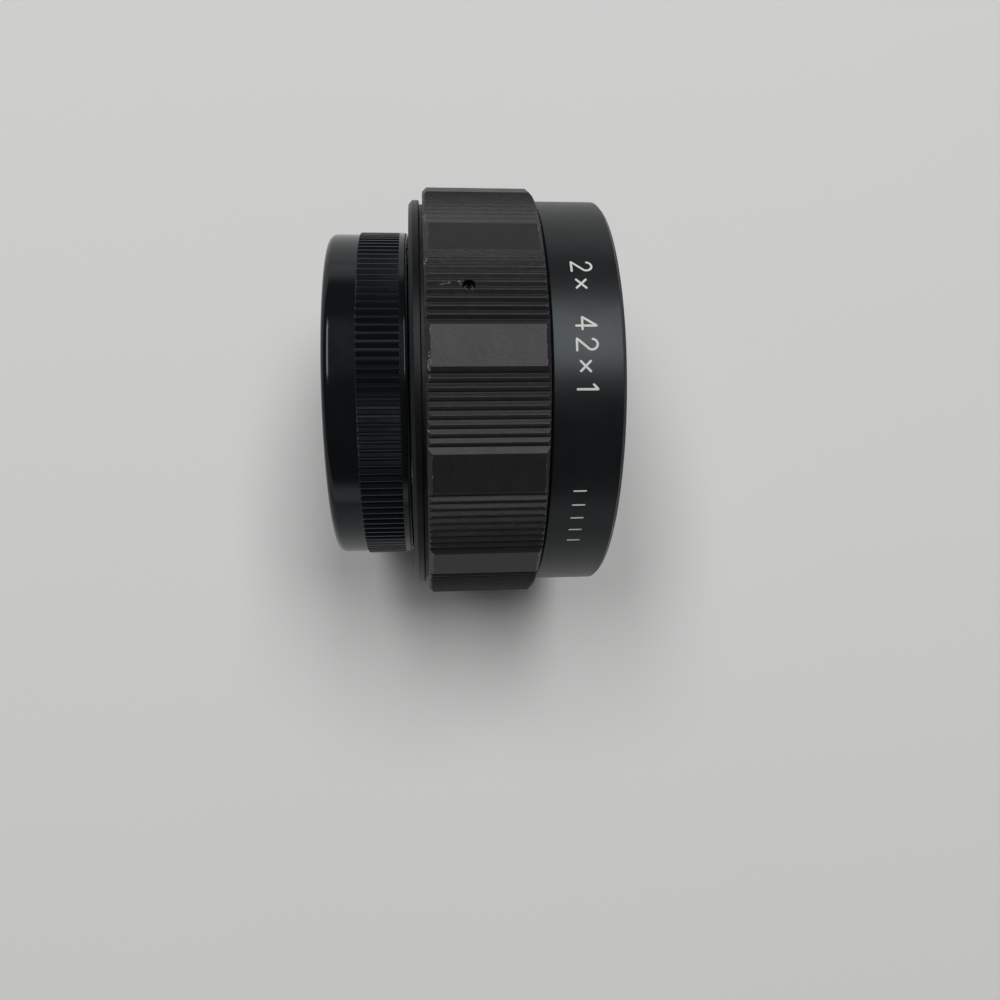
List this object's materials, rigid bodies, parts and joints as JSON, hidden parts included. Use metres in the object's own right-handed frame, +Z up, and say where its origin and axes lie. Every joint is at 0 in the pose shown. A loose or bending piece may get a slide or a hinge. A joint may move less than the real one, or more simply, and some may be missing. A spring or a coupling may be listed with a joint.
{
  "type": "teleconverter",
  "caption": "Black screw-mount teleconverter with a fluted grip ring, a sprung diaphragm pusher and a screw-on knurled rear cap.",
  "frame": {"origin": "on the optical axis, in the plane of the rear seating face", "axes": "+X along the optical axis towards the lens side, +Z up with the part lying on one flat of its grip"},
  "size_m": [0.0399, 0.0628, 0.0628],
  "materials": {
    "barrel_black": "black anodised, satin",
    "grip_black": "black anodised over a fine blast, corners worn",
    "mount_chrome": "satin chrome on brass",
    "screw_steel": "turned steel",
    "block_black": "black anodised, matt",
    "baffle_black": "matt black paint",
    "brass": "turned brass",
    "optical_glass": "polished, coated",
    "rod_steel": "ground steel",
    "plate_steel": "pressed steel, nickel plated",
    "spring_steel": "drawn wire",
    "cap_plastic": "glossy moulded black"
  },
  "bodies": {
    "barrel": {"main_barrel": "barrel_black", "grip_ring": "grip_black", "grip_set_screws": "screw_steel", "rear_flange": "barrel_black", "rear_mount_ring": "mount_chrome", "rear_mount_screws": "screw_steel", "rear_baffle": "baffle_black", "front_mount_ring": "mount_chrome", "front_mount_screws": "screw_steel", "front_mount_shim": "brass", "lens_block": "block_black", "lens_block_nut": "block_black", "front_element": "optical_glass", "front_doublet_element": "optical_glass", "third_element": "optical_glass", "rear_element": "optical_glass", "element_spacer": "block_black", "front_retaining_ring": "block_black", "rear_retaining_ring": "block_black", "guide_bush_left": "brass", "guide_bush_right": "brass", "return_spring_left": "spring_steel", "return_spring_right": "spring_steel"},
    "diaphragm_pusher": {"pusher_plate": "plate_steel", "actuator_pin": "rod_steel", "guide_rod_left": "rod_steel", "guide_rod_right": "rod_steel", "spring_seat_left": "rod_steel", "spring_seat_right": "rod_steel"},
    "cap": {"rear_cap": "cap_plastic"}
  },
  "joints": [
    {"name": "diaphragm_push", "type": "slide", "parent": "barrel", "child": "diaphragm_pusher", "axis": [1, 0, 0], "range_m": [0, 0.0025], "stiffness_N_per_m": 120, "springref_m": -0.003, "deforming": ["return_spring_left", "return_spring_right"]},
    {"name": "cap_removal", "type": "slide", "parent": "barrel", "child": "cap", "axis": [-1, 0, 0], "range_m": [0, 0.02]}
  ]
}
